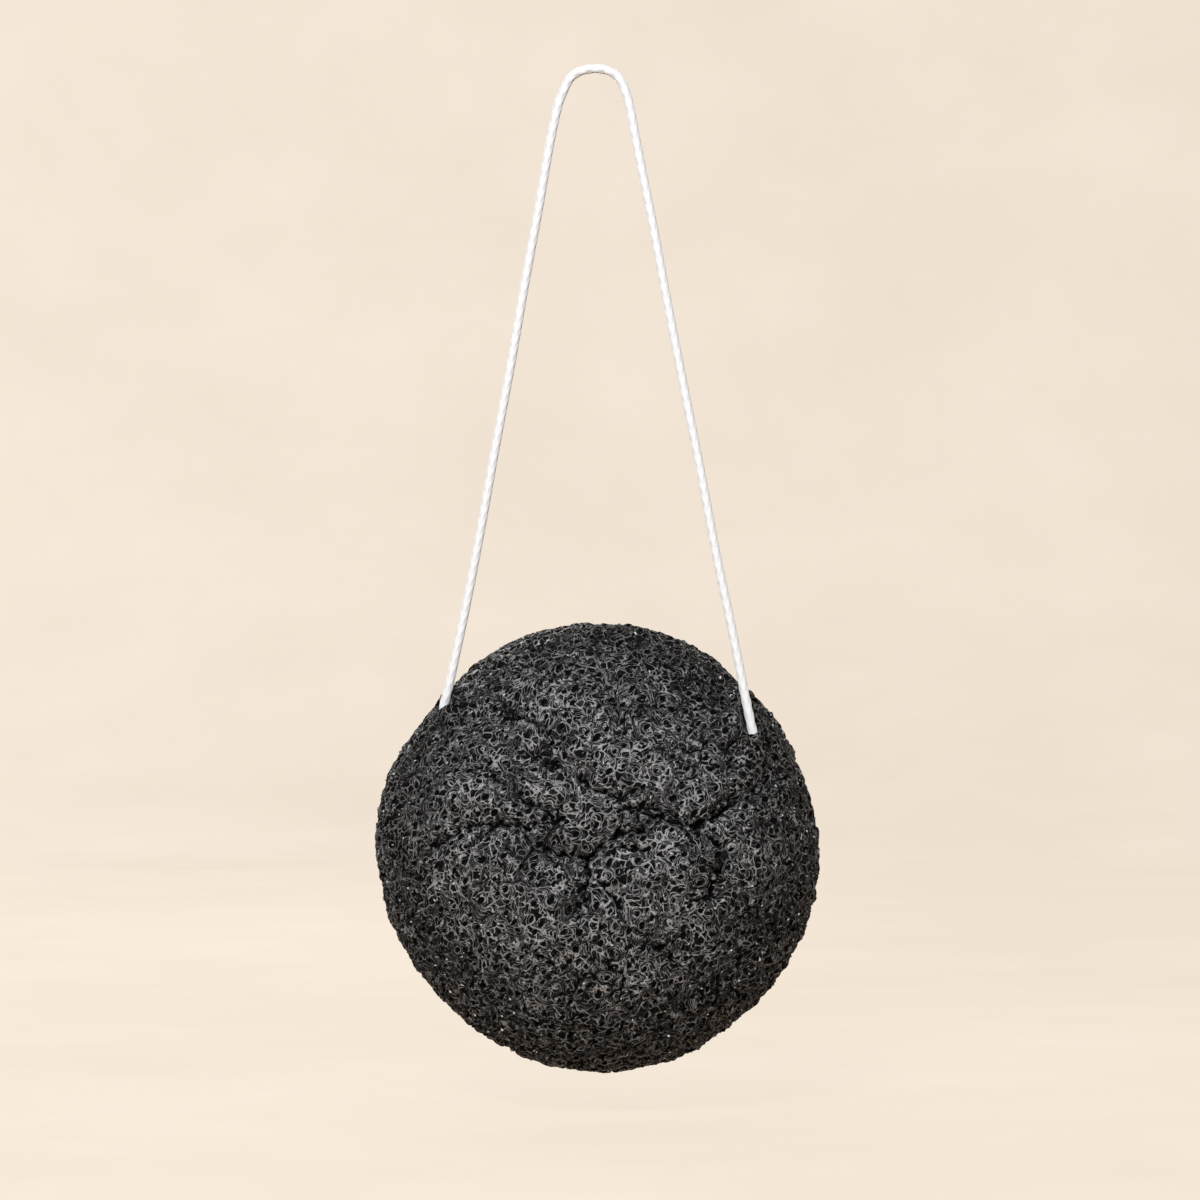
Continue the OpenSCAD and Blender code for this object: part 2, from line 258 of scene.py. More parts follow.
class Puff:
    """The form of the sponge, and the two square charts that its mesh is made on"""

    def __init__(self, s, rings):
        self.s, self.rings = s, rings
        self.r = s.width / 2
        self.margin = 26
        angle = np.linspace(0, math.pi / 2, 2000)
        dome = np.stack([self.r * np.sin(angle) ** (2 / s.fullness),
                         -s.dome_depth * np.cos(angle) ** (2 / s.fullness)], 1)
        edge = np.stack([self.r - s.edge_round * (1 - np.cos(angle)), s.back_depth * np.sin(angle)], 1)
        self.angle = angle
        self.dome_arc, self.edge_arc = way_along(dome), way_along(edge)
        self.front = self.dome_arc[-1]
        self.edge = self.edge_arc[-1]
        self.flat = self.r - s.edge_round
        self.whole = self.front + self.edge + self.flat
        self.middle = RUN_MIDDLE - self.tilted(np.array((0, -CHANNEL_FORWARD, CHANNEL_RISE)))

    def tilted(self, p):
        c, s = math.cos(self.s.tilt), math.sin(self.s.tilt)
        return np.stack([p[..., 0], p[..., 1] * c + p[..., 2] * s, p[..., 2] * c - p[..., 1] * s], -1)

    def outline(self, azimuth):
        turn = np.degrees(azimuth)
        share = sum(h * bell(np.abs((turn - a + 900) % 360 - 180) / w) for a, h, w in OUTLINE)
        return self.r * (1 + share)

    def plain(self, arc, azimuth):
        """Places on the form without its folds, and how much of each fold shows there"""
        s = self.s
        arc = np.clip(arc, 0, self.whole)
        r = self.outline(azimuth)
        angle = np.interp(arc, self.dome_arc, self.angle)
        across = np.sin(angle) ** (2 / s.fullness) * r
        back = -s.dome_depth * np.cos(angle) ** (2 / s.fullness)
        turn = np.interp(arc - self.front, self.edge_arc, self.angle)
        share = np.clip((self.whole - arc) / self.flat, 0, 1)
        beyond = arc > self.front
        past = (r - s.edge_round * (1 - np.cos(turn))) * np.where(turn >= math.pi / 2, share, 1)
        across = np.where(beyond, past, across)
        back = np.where(beyond, s.back_depth * np.sin(turn), back)
        shown = np.where(beyond, 0, np.cos(angle) ** (2 / s.fullness))
        return self.tilted(np.stack([across * np.cos(azimuth), back, across * np.sin(azimuth)], -1)), shown

    def chart(self, is_front):
        """Arc and azimuth of the places of a square chart, with a margin past the widest line"""
        reach = self.rings + self.margin
        i, j = np.meshgrid(*[np.arange(-reach, reach + 1)] * 2, indexing="ij")
        ring = np.maximum(abs(i), abs(j))
        wide = abs(i) >= abs(j)
        low, high = np.where(wide, j, i), np.where(wide, i, j)
        part = low / np.where(high == 0, 1, high) * math.pi / 4
        azimuth = np.where(wide, part, math.pi / 2 - part) + np.where(high < 0, math.pi, 0)
        step = (self.front if is_front else self.edge + self.flat) / self.rings
        arc = ring * step if is_front else self.whole - ring * step
        return arc, azimuth

    def cell(self, arc, azimuth, is_front):
        """Cell of a chart, as numbers from its corner, where an arc and azimuth are"""
        step = (self.front if is_front else self.edge + self.flat) / self.rings
        ring = arc / step if is_front else (self.whole - arc) / step
        turn = (azimuth + math.pi / 4) % (2 * math.pi)
        side = np.floor(turn / (math.pi / 2)).astype(int) % 4
        t = (turn % (math.pi / 2)) / (math.pi / 4) - 1
        i = np.choose(side, [ring, -ring * t, -ring, ring * t])
        j = np.choose(side, [ring * t, ring, -ring * t, -ring])
        return i + self.rings + self.margin, j + self.rings + self.margin, ring


def across_normals(places, outward):
    """Normals of a chart of places"""
    a, b = np.gradient(places, axis=0), np.gradient(places, axis=1)
    n = unit(np.cross(a, b))
    return n * np.sign((n * outward).sum(-1, keepdims=True))


def steepness(field, places):
    """Rate of change of a field along a chart of places"""
    total = 0
    for axis in (0, 1):
        rate = np.abs(np.diff(field, axis=axis)) / np.linalg.norm(np.diff(places, axis=axis), axis=-1)
        first, last = np.take(rate, [0], axis), np.take(rate, [-1], axis)
        total = total + np.maximum(np.concatenate([first, rate], axis), np.concatenate([rate, last], axis)) ** 2
    return np.sqrt(total)


def folds(puff, places, noise):
    """Height of the folds over the plain form, share of the nearest crease, and distance to its pinched line"""
    s = puff.s
    seen = places[..., [0, 2]] / puff.r
    wave = np.stack([noise.at(places + 0.05, 3 * MM), noise.at(places - 0.07, 3 * MM)], -1) * 0.45
    ripple = np.stack([noise.at(places + 0.02, 1.3 * MM), noise.at(places - 0.03, 1.3 * MM)], -1) * 0.75
    warped = seen + (wave + ripple) * MM / puff.r
    uneven = (1 + 1.3 * noise.at(places + 0.1, 1.8 * MM)).clip(0.15, 1.9)
    groove, line, pinch = np.zeros(seen.shape[:-1]), np.zeros(seen.shape[:-1]), np.full(seen.shape[:-1], 9.0)
    close = places[..., 1] < 0
    for share, *points in CREASES:
        ends = np.array(points)
        part = close & ((seen > ends.min(0) - 0.18) & (seen < ends.max(0) + 0.18)).all(-1)
        near = to_line(seen[part], points) * puff.r / s.crease_width
        groove[part] = np.maximum(groove[part], share * bell(near))
        far = to_line(warped[part], points) * puff.r / (s.line_width * uneven[part])
        line[part] = np.maximum(line[part], share ** 0.5 * bell(far))
        pinch[part] = np.minimum(pinch[part], far / share ** 0.5)
    lobes = sum(share * bell(np.linalg.norm(seen - (x, z), axis=-1) * puff.r / s.lobe_radius)
                for x, z, share in LOBES)
    pucker = bell(np.linalg.norm(seen - PUCKER, axis=-1) * puff.r / s.pucker_radius)
    height = (s.lobe_height * lobes - s.crease_depth * groove - s.pucker_depth * pucker
              - s.line_depth * line * uneven)
    return height, groove, pinch


def scatter(puff, rng, radii, gap, taken):
    """Throws round spots on the form, each clear of the others. Returns arc, azimuth and radius of each"""
    room = 2 * MM
    cells = {}

    def key(p):
        return tuple(np.floor(p / room).astype(int))

    for p, r in taken:
        cells.setdefault(key(p), []).append((p, r))
    kept = []
    tries = len(radii)
    arc = np.where(rng.random(tries) < 0.56, np.sqrt(rng.random(tries)) * puff.front,
                   puff.whole - np.sqrt(rng.random(tries)) * (puff.edge + puff.flat))
    azimuth = rng.random(tries) * 2 * math.pi
    places, _ = puff.plain(arc, azimuth)
    for a, z, p, r in zip(arc, azimuth, places, radii):
        k = key(p)
        clear = all(
            np.dot(p - q, p - q) > (gap * (r + t)) ** 2
            for step in itertools.product((-1, 0, 1), repeat=3)
            for q, t in cells.get((k[0] + step[0], k[1] + step[1], k[2] + step[2]), ()))
        if clear:
            cells.setdefault(k, []).append((p, r))
            kept.append((a, z, r))
            taken.append((p, r))
    return np.array(kept)


def stamp(puff, spots, places, is_front, window=9):
    """For each oval spot near a chart: the cells round it, and their distance from it in radii and in mm"""
    i, j, ring = puff.cell(spots[:, 0], spots[:, 1], is_front)
    inside = ring < puff.rings + puff.margin - window - 1
    spots, i, j = spots[inside], i[inside], j[inside]
    centre, _ = puff.plain(spots[:, 0], spots[:, 1])
    a, b = np.meshgrid(*[np.arange(-window, window + 1)] * 2, indexing="ij")
    rows = np.rint(i).astype(int)[:, None] + a.ravel()
    columns = np.rint(j).astype(int)[:, None] + b.ravel()
    away = places[rows, columns] - centre[:, None]
    long = unit(away[:, len(a.ravel()) // 3])
    d = np.linalg.norm(away, axis=-1)
    oval = np.sqrt(d ** 2 - 0.6 * (away * long[:, None]).sum(-1) ** 2)
    return rows, columns, 1.25 * oval / spots[:, 2:3], d / MM


def foam_fields(puff, pores, noises, is_front):
    """Places with and without pores, normals, marks for the material, closed share and flows, on one chart"""
    s = puff.s
    arc, azimuth = puff.chart(is_front)
    plain, shown = puff.plain(arc, azimuth)
    outward = unit(plain) + np.array((0, -0.3 if is_front else 0.6, 0))
    normals = across_normals(plain, outward)
    height, groove, pinch = folds(puff, plain, noises[0])
    height, groove = height * shown, groove * shown
    rim = smooth(0.45, 0.75, arc / puff.front) * (1 - smooth(0, 1.5, (arc - puff.front) / puff.edge))
    height += 0.2 * MM * noises[1].at(plain, 7 * MM) + 0.3 * MM * noises[2].at(plain, 2.8 * MM)
    height += 0.28 * MM * rim * noises[4].at(plain, 2.1 * MM)
    # Cracks between small cushions: their width comes and goes
    bent = plain + 0.9 * MM * np.stack([noises[k].at(plain, 2.6 * MM) for k in (4, 5, 6)], -1)
    coarse, fine = (border / steepness(border, plain).clip(0.25, 1) for border in (
        noises[2].borders(bent, s.pillow), noises[3].borders(bent, 0.55 * s.pillow)))
    open_coarse = smooth(-0.3, 0.9, noises[6].at(plain, 7 * MM) + 0.6 * groove - 0.2 * rim)
    open_fine = smooth(0.2, 1.2, noises[5].at(plain, 6 * MM) + 0.4 * groove)
    crack = np.maximum(open_coarse * np.exp(-coarse / (0.34 * MM)),
                       0.5 * (1 + rim) * np.exp(-fine / (0.2 * MM)))
    height -= s.crack_depth * np.maximum(crack, 0.6 * rim * np.exp(-coarse / (0.7 * MM)))
    nearest_crack = np.minimum(coarse / np.maximum(open_coarse, 0.02), 1.6 * fine / np.maximum(open_fine, 0.02))
    split = np.minimum(pinch / np.maximum(shown, 0.05), nearest_crack / s.crack_width)
    form = plain + normals * height[..., None]
    # Flow of the strands: round the pores, along the cracks, and along the outline near it
    hole = np.full(arc.shape, 3.0)
    nearest = np.full(arc.shape, 2.2)
    rows, columns, d, away = stamp(puff, pores, plain, is_front)
    wobble = 1 + 0.15 * noises[2].at(plain, 0.8 * MM)
    np.minimum.at(hole, (rows, columns), d * wobble[rows, columns])
    np.minimum.at(nearest, (rows, columns), away)
    pit = 1 - smooth(0.65, 1.1, hole)
    out = np.maximum(np.hypot(plain[..., 0], plain[..., 2]) / MM - 20, 0)
    along_rim = s.rim_flow * np.where(out < 10, out * out / 20, out - 5)
    along_crack = 1.3 * np.exp(-split / 4) + 1.6 * groove
    net = 0.7 * nearest + 0.9 * noises[5].at(plain, 2.4 * MM) + 1.6 * noises[6].at(plain, 5 * MM)
    net = net * (1 - 0.4 * rim) + along_crack + along_rim
    cross = 1.3 * noises[4].at(plain, 5 * MM) + 0.25 * noises[6].at(plain, 1.8 * MM)
    cross = cross + along_crack - 0.6 * along_rim
    sunk = 0.5 * MM * pit * (0.6 + 0.8 * noises[7].at(plain, 4 * MM).clip(-0.5, 1))
    at = form - normals * sunk[..., None]
    # Painted shade: the foam's colour is darkened towards the rim and along the creases
    tone = (1 - s.rim_painted_shade * rim) * (1 - 0.15 * groove)
    marks = np.stack([tone, hole / 3, (split / 6).clip(0, 1), net], -1)
    closed = np.maximum(pit, 1 - smooth(0.6, 1.2, split))
    return at, form, normals, marks, closed, (net, cross)


def sample(field, at):
    """Values of a chart between its cells"""
    rows, columns = field.shape[:2]
    i = np.clip(np.floor(at[..., 0]).astype(int), 0, rows - 2)
    j = np.clip(np.floor(at[..., 1]).astype(int), 0, columns - 2)
    u, v = np.clip(at[..., 0] - i, 0, 1), np.clip(at[..., 1] - j, 0, 1)
    if field.ndim > 2:
        u, v = u[..., None], v[..., None]
    return ((1 - u) * ((1 - v) * field[i, j] + v * field[i, j + 1])
            + u * ((1 - v) * field[i + 1, j] + v * field[i + 1, j + 1]))


def trails(rng, count, way, room, step, points):
    """Paths on a chart that follow its way from random starts"""
    start = (room[0] + (room[1] - room[0]) * rng.random((count, 2))).astype(np.float32)
    step = rng.uniform(*step, count)[:, None] * MM
    path = [start]
    for sign in (1, -1):
        here = start
        for _ in range(points // 2 - (sign > 0)):
            here = here + sign * step * sample(way, here)
            path = [*path, here] if sign > 0 else [here, *path]
    return np.stack(path, 1)


def spaced(paths, blocked, gap, shortest):
    """Cuts each path where it meets an earlier one or a blocked cell, and leaves out the short ones"""
    taken = np.kron(blocked, np.ones((2, 2), bool))
    reach = np.arange(-gap, gap + 1)
    a, b = (g.ravel() for g in np.meshgrid(reach, reach, indexing="ij"))
    a, b = a[a * a + b * b <= gap * gap + 1], b[a * a + b * b <= gap * gap + 1]
    cells = np.clip(np.rint(2 * paths).astype(np.int32), gap, len(taken) - gap - 1)
    points = paths.shape[1]
    middle = points // 2
    number = np.arange(points)
    kept = []
    for path, cell in zip(paths, cells):
        i, j = cell.T
        met = taken[i, j]
        if met[middle]:
            continue
        before, after = np.flatnonzero(met[:middle]), np.flatnonzero(met[middle:])
        first = before[-1] + 1 if len(before) else 0
        last = middle + after[0] - 1 if len(after) else points - 1
        if last - first < shortest:
            continue
        taken[i[first:last + 1, None] + a, j[first:last + 1, None] + b] = True
        along = np.linspace(first, last, points)
        kept.append(np.stack([np.interp(along, number, path[:, k]) for k in (0, 1)], 1))
    return np.array(kept)


def strands(paths, rng, form, normals, light, half, lift, painted_glint=0.0):
    """Strands along paths on a chart: their places, triangles and shades"""
    count, points, _ = paths.shape
    line = sample(form, paths)
    normal = unit(sample(normals, paths))
    inside = sample(light, paths)
    keep = np.linalg.norm(np.diff(line, axis=1), axis=2).max(1) < 0.6 * MM
    line, normal, inside = line[keep], normal[keep], inside[keep]
    count = len(line)
    k = np.arange(points) / (points - 1)
    arch = np.sin(math.pi * k) ** 0.5
    rise = rng.uniform(0, lift, count)[:, None] * arch - 0.14 * (1 - arch)
    waves = k * rng.uniform(0.7, 1.8, count)[:, None] + rng.random(count)[:, None]
    line = line + normal * ((rise + 0.3 * lift * np.sin(2 * math.pi * waves)) * MM)[..., None]
    tangent = unit(np.gradient(line, axis=1))
    side = unit(np.cross(normal, tangent))
    half = (half * rng.uniform(0.7, 1.3, count)[:, None] * (0.35 + 0.65 * arch))[..., None]
    rings = np.stack([line - side * half - normal * half * 0.5, line + normal * half * 1.1,
                      line + side * half - normal * half * 0.5], 2)[:, 1:-1]
    places = np.concatenate([line[:, :1], rings.reshape(count, -1, 3), line[:, -1:]], 1)
    # Painted shade: each strand is lightest along its top, half as light on its flanks and darker at its ends,
    # where it dips into the foam
    bright = rng.uniform(0.4, 1.15, count)[:, None] ** 1.3 * inside
    tone = np.stack([0.5 * bright, bright, 0.5 * bright], 2)[:, 1:-1].reshape(count, -1)
    tone = np.concatenate([0.2 * bright[:, :1], tone, 0.2 * bright[:, -1:]], 1)
    # Share of the painted highlight, random from strand to strand
    gloss = np.full_like(tone, painted_glint) * rng.uniform(0.2, 1, (count, 1))
    shades = np.stack([tone, gloss, np.zeros_like(tone)], -1)
    each = 3 * (points - 2) + 2
    faces = []
    for r in range(points - 3):
        for c in range(3):
            p, q = 1 + 3 * r + c, 1 + 3 * r + (c + 1) % 3
            faces += [(p, q, q + 3), (p, q + 3, p + 3)]
    last = 1 + 3 * (points - 3)
    for c in range(3):
        faces += [(0, 1 + (c + 1) % 3, 1 + c), (each - 1, last + c, last + (c + 1) % 3)]
    faces = (np.array(faces)[None] + each * np.arange(count)[:, None, None]).reshape(-1, 3)
    return places.reshape(-1, 3), faces, shades.reshape(-1, 3)


def loose_strands(puff, s, rng, form, normals, tone, closed, flows, amount):
    """The evenly spaced strands of a chart, those that cross them, and the short glossy ones with painted
    highlights
    """
    ways = []
    along_i, along_j = np.gradient(form, axis=0), np.gradient(form, axis=1)
    for flow in flows:
        a, b = np.gradient(flow)
        way = np.stack([-b, a], -1) / np.maximum(np.hypot(a, b), 1e-9)[..., None]
        speed = np.linalg.norm(along_i * way[..., :1] + along_j * way[..., 1:], axis=-1)
        ways.append((way / np.maximum(speed, 0.02 * MM)[..., None]).astype(np.float32))
    room = (puff.margin - 6, puff.margin + 2 * puff.rings + 6)
    blocked = closed > 0.5
    # Painted shade: the strands take the foam's painted shade and are darker still over pores and cracks
    light = tone * (1 - 0.85 * closed)
    gap = round(0.27 * MM / (puff.front / puff.rings) * 2)
    even = spaced(trails(rng, round(amount * s.strands), ways[0], room, (0.26, 0.34), 12), blocked, gap, 3)
    cross = trails(rng, round(amount * s.crossing), ways[1], room, (0.2, 0.34), 8)
    cross = cross[sample(closed, cross).max(1) < 0.6]
    # Short strands with painted highlights, kept off pores and cracks
    bright = trails(rng, round(amount * s.painted_glints), ways[0], room, (0.1, 0.16), 6)
    bright = bright[sample(closed, bright).max(1) < 0.25]
    return [strands(even, rng, form, normals, light, s.strand_width, 0.08),
            strands(cross, rng, form, normals, light, 0.8 * s.strand_width, 0.15),
            strands(bright, rng, form, normals, light, 1.2 * s.strand_width, 0.15, 1.0)]


def leg_curve(end, out):
    """Places of the free cord near one end: distance from the channel's line, and distance out"""
    line = smooth_curve(ROUTE, 0.3 * MM)
    if out[0] > 0:
        line = line[::-1]
    way = way_along(line)
    line = line[way < LEG]
    rel = line - end
    along = rel @ out
    return np.stack([np.linalg.norm(rel - along[:, None] * out, axis=1), along], 1)


def open_mouths(puff, at, normals, cord_r):
    """Presses the foam in where a leg of the cord passes as the sponge swings. Places are from the middle"""
    clear = cord_r + CORD_ROOM
    for lip, swell, end, out in MOUTHS:
        curve = leg_curve(end, out)
        end = end - puff.middle
        side = np.cross(out, PLANE_UP) * np.sign(out[0])
        rel = at - end
        part = (np.abs(rel @ out) < MOUTH_DEPTH) & (np.linalg.norm(rel, axis=-1) < MOUTH_REACH)
        for again in range(3):
            rel = at[part] - end
            along = rel @ out
            flat = rel - along[:, None] * out
            far = np.linalg.norm(flat, axis=1)
            turn = np.degrees(np.arctan2(flat @ side, flat @ PLANE_UP))
            turn_in = np.clip(turn, -SWING_DOWN, SWING_UP)
            here = np.stack([far * np.cos(np.radians(turn - turn_in)), along], 1)
            gap = np.linalg.norm(here[:, None] - curve[None], axis=2)
            near = curve[gap.argmin(1)]
            lean = np.radians(turn_in)[:, None]
            spoke = PLANE_UP * np.cos(lean) + side * np.sin(lean)
            centre = end + spoke * near[:, :1] + out * near[:, 1:]
            to = centre - at[part]
            rise = (to * normals[part]).sum(1)
            aside = np.sqrt(np.maximum((to ** 2).sum(1) - rise ** 2, 0))
            need = np.sqrt(np.maximum(clear ** 2 - aside ** 2, 0)) - rise
            depth = near[:, 0] - 4 * MM * (aside / clear).clip(0, 1) ** 2
            open_here = smooth(lip - 0.7 * MM, lip + 1.5 * MM, depth)
            press = np.where(aside < clear, np.maximum(need, 0), 0) * smooth(-1.3 * MM, -0.3 * MM, rise)
            cover = np.maximum((rise + clear + 0.2 * MM) * bell(aside / (3 * MM)), 0) * (again == 0)
            # Covered with foam near the channel, and pressed open farther out
            press = np.minimum(press, MOST_PRESSED)
            move = swell * np.tanh(cover / swell) * (1 - open_here) - press * open_here
            at[part] += normals[part] * move[:, None]
    return at


# ---- Mesh makers ----
def add_piece(name, mesh):
    """Puts a smooth mesh in the scene"""
    mesh.shade_smooth()
    piece = bpy.data.objects.new(name, mesh)
    bpy.context.scene.collection.objects.link(piece)
    return piece


def mesh_object(name, places, faces):
    """A piece from places and faces of equal length"""
    mesh = bpy.data.meshes.new(name)
    corners = np.asarray(faces, np.int32)
    mesh.vertices.add(len(places))
    mesh.vertices.foreach_set("co", np.asarray(places, np.float32).ravel())
    mesh.loops.add(corners.size)
    mesh.loops.foreach_set("vertex_index", corners.ravel())
    mesh.polygons.add(len(corners))
    mesh.polygons.foreach_set("loop_start", np.arange(0, corners.size, corners.shape[1], dtype=np.int32))
    mesh.update(calc_edges=True)
    return add_piece(name, mesh)


def mark(mesh, name, values):
    """Stores a value at each place for a material"""
    mesh.attributes.new(name, "FLOAT", "POINT").data.foreach_set("value", values.astype(np.float32).ravel())


def mark_shades(mesh, shades):
    """Stores three values at each place for the foam's materials"""
    colours = np.concatenate([shades, np.ones((len(shades), 1))], 1).astype(np.float32)
    mesh.attributes.new("foam", "FLOAT_COLOR", "POINT").data.foreach_set("color", colours.ravel())


def way_along(line):
    """Distance along a line to each of its points"""
    return np.concatenate([[0], np.cumsum(np.linalg.norm(np.diff(line, axis=0), axis=1))])


def smooth_curve(points, step):
    """A smooth curve through points, resampled at even steps"""
    p = np.concatenate([[2 * points[0] - points[1]], points, [2 * points[-1] - points[-2]]])
    t = np.linspace(0, 1, 40, endpoint=False)[:, None]
    parts = []
    for a, b, c, d in zip(p[:-3], p[1:-2], p[2:-1], p[3:]):
        parts.append(b + t * (c - a) / 2 + t ** 2 * (a - 2.5 * b + 2 * c - 0.5 * d)
                     + t ** 3 * (1.5 * (b - c) + (d - a) / 2))
    fine = np.concatenate([*parts, points[-1:]])
    way = way_along(fine)
    even = np.linspace(0, way[-1], max(2, round(way[-1] / step)) + 1)
    return np.stack([np.interp(even, way, fine[:, k]) for k in range(3)], 1)


def braid(name, line, side, s):
    """A round braid of eight strands along a line, with its fibres' map"""
    way = way_along(line)
    along = unit(np.gradient(line, axis=0))
    first = unit(side - (side * along).sum(1, keepdims=True) * along)
    second = np.cross(along, first)
    turn = np.arange(s.sides) / s.sides
    u = 4 * (turn[None] - way[:, None] / s.lay)
    v = 4 * (turn[None] + way[:, None] / s.lay)
    ku, kv = np.floor(u), np.floor(v)
    one = np.sqrt(1 - 0.9 * (2 * (u - ku) - 1) ** 2) + 0.42 * np.cos(math.pi * (v - 0.5 - ku))
    other = np.sqrt(1 - 0.9 * (2 * (v - kv) - 1) ** 2) - 0.42 * np.cos(math.pi * (u - 0.5 - kv))
    crown = np.clip(np.maximum(one, other) / 1.42, 0, 1)
    radius = s.diameter / 2 - s.strand_rise * (1 - crown)
    angle = 2 * math.pi * turn[None, :, None]
    ring = np.cos(angle) * first[:, None] + np.sin(angle) * second[:, None]
    places = line[:, None] + ring * radius[..., None]
    count, sides = radius.shape
    i, j = np.meshgrid(np.arange(count - 1), np.arange(sides), indexing="ij")
    after = (j + 1) % sides
    here, beyond = i * sides, (i + 1) * sides
    quads = np.stack([here + j, here + after, beyond + after, beyond + j], -1).reshape(-1, 4)
    mesh = bpy.data.meshes.new(name)
    caps = [list(range(sides))[::-1], [(count - 1) * sides + k for k in range(sides)]]
    mesh.from_pydata(places.reshape(-1, 3).tolist(), [], quads.tolist() + caps)
    mark(mesh, "crown", crown)
    mark(mesh, "fibre_across", np.where(one > other, u, v + 40))
    mark(mesh, "fibre_along", np.repeat(way[:, None], sides, 1) / MM)
    return add_piece(name, mesh)


# ---- Shader maths ----
class Socket:
    """A shader socket, or a number, that takes the usual operators"""

    def __init__(self, tree, socket):
        self.tree, self.socket = tree, socket

    def math(self, operation, *others, **more):
        return self.tree.node("Math", {"operation": operation, **more}, self, *others)

    def __add__(self, other):
        return self.math("ADD", other)

    __radd__ = __add__

    def __sub__(self, other):
        return self.math("SUBTRACT", other)

    def __rsub__(self, other):
        return self.tree.node("Math", {"operation": "SUBTRACT"}, other, self)

    def __mul__(self, other):
        return self.math("MULTIPLY", other)

    __rmul__ = __mul__

    def __pow__(self, other):
        return self.math("POWER", other)

    def clamp(self):
        return self.math("ADD", 0.0, use_clamp=True)


class Tree:
    """The nodes of one material or world"""

    def __init__(self, name, owner=None):
        self.owner = owner or bpy.data.materials.new(name)
        self.owner.use_nodes = True
        self.nodes = self.owner.node_tree.nodes
        self.links = self.owner.node_tree.links
        self.nodes.clear()

    def node(self, kind, settings=None, *values, out=0, **named):
        """Adds a node of a type with its settings, and the values or links of its sockets"""
        made = self.nodes.new("ShaderNode" + kind)
        for key, value in (settings or {}).items():
            setattr(made, key, value)
        for key, value in [*enumerate(values), *named.items()]:
            name = key if isinstance(key, int) else key.replace("_", " ")
            target = made.inputs[name]
            if isinstance(value, Socket):
                self.links.new(value.socket, target)
            else:
                target.default_value = value
        return Socket(self, made.outputs[out])

    def mix(self, share, a, b):
        """Mixes two colours"""
        made = self.nodes.new("ShaderNodeMix")
        made.data_type = "RGBA"
        for key, value in ((0, share), (6, a), (7, b)):
            if isinstance(value, Socket):
                self.links.new(value.socket, made.inputs[key])
            else:
                made.inputs[key].default_value = value if key == 0 else (*value[:3], 1)
        return Socket(self, made.outputs[2])

    def attribute(self, name, out=2):
        """A value stored at each place: output 2 is a number, and output 0 a colour"""
        return self.node("Attribute", {"attribute_name": name}, out=out)

    def parts(self, kind, value):
        """The three numbers of a colour or of a place"""
        made = self.node(kind, {}, value).socket.node
        return [Socket(self, made.outputs[k]) for k in range(3)]

    def ramp(self, value, *ends):
        """Smooth step from one range of values to another"""
        return self.node("MapRange", {"interpolation_type": "SMOOTHSTEP"}, value, *ends)

    def noise(self, where, scale, detail=2, rough=0.5):
        return self.node("TexNoise", {}, where, Scale=scale, Detail=detail, Roughness=rough)

    def sees(self):
        """1 for what the camera, a reflection or a see-through piece sees, 0 for what only gives light"""
        path = self.node("LightPath").socket.node
        rays = [Socket(self, path.outputs[f"Is {kind} Ray"]) for kind in ("Camera", "Glossy", "Transmission")]
        return sum(rays).clamp()

    def finish(self, surface, kind="Material"):
        out = self.nodes.new("ShaderNodeOutput" + kind)
        self.links.new(surface.socket, out.inputs["Surface"])
        return self.owner


def foam_material(s):
    """Net of fine strands: the borders between cells that are drawn out along the flow"""
    t = Tree("konjac_foam")
    tone, hole, split = t.parts("SeparateColor", t.attribute("foam", 0))
    # Painted shade: the pores are painted dark inside
    pit = t.ramp(hole, 0.28, 0.35, 1.0, 0.0)
    # Painted highlight: a lighter ring round the lip of each pore
    ring = t.ramp(hole, 0.33, 0.38, 0.0, 1.0) * t.ramp(hole, 0.42, 0.52, 1.0, 0.0)
    # Painted shade: the fine cracks and pinched crease lines are painted dark, and the foam beside them is
    # darkened
    crack = t.ramp(split, 0.09, 0.2, 1.0, 0.0)
    painted_crack_shade = t.ramp(split, 0.1, 0.8, 0.5, 1.0)
    flow = t.attribute("net")
    where = t.node("TexCoord", out=3)
    flat = t.node("VectorMath", {"operation": "MULTIPLY"}, where, (1, 0.6, 1))
    fine = t.noise(where, 3200, rough=0.6)
    broad = t.noise(where, 260)
    nets = []
    for scale, along, wide in ((s.net_scale, 1.9, 0.14), (1.5 * s.net_scale, 3.4, 0.16)):
        border = t.node("TexVoronoi", {"voronoi_dimensions": "4D", "feature": "DISTANCE_TO_EDGE"},
                        flat, W=flow * (along / scale), Scale=scale)
        nets.append(t.ramp(border, 0.0, wide, 1.0, 0.0) ** 1.8)
    dense = t.ramp(t.noise(where, 480, 1), 0.42, 0.6, 0.05, 0.4)
    line = nets[0].math("MAXIMUM", dense * nets[1])
    patch = t.ramp(broad, 0.3, 0.7, 0.3, 1.1)
    light = (0.004 + line + 0.3 * ring).clamp() ** (2.5 - 1.1 * tone) * (patch + 0.5 * fine)
    light = light * (1 - pit) * (1 - crack) * painted_crack_shade * tone
    colour = t.mix(light.clamp(), s.hollow, s.strand)
    bump = t.node("Bump", {}, Strength=0.7, Distance=0.00015, Height=line)
    gloss = t.node("BsdfPrincipled", {}, Base_Color=colour, Roughness=0.6 - 0.2 * line, Normal=bump,
                   Specular_IOR_Level=0.16)
    # Painted shade: a dull dark shader takes the place of the glossy foam in the pores and cracks, and mostly
    # between the strands
    dark = t.node("BsdfPrincipled", {}, Base_Color=(*s.hollow, 1), Roughness=1.0, Specular_IOR_Level=0.0)
    cover = (pit + crack + 0.9 * (1 - line) ** 2).clamp()
    return t.finish(t.node("MixShader", {}, cover, gloss, dark))


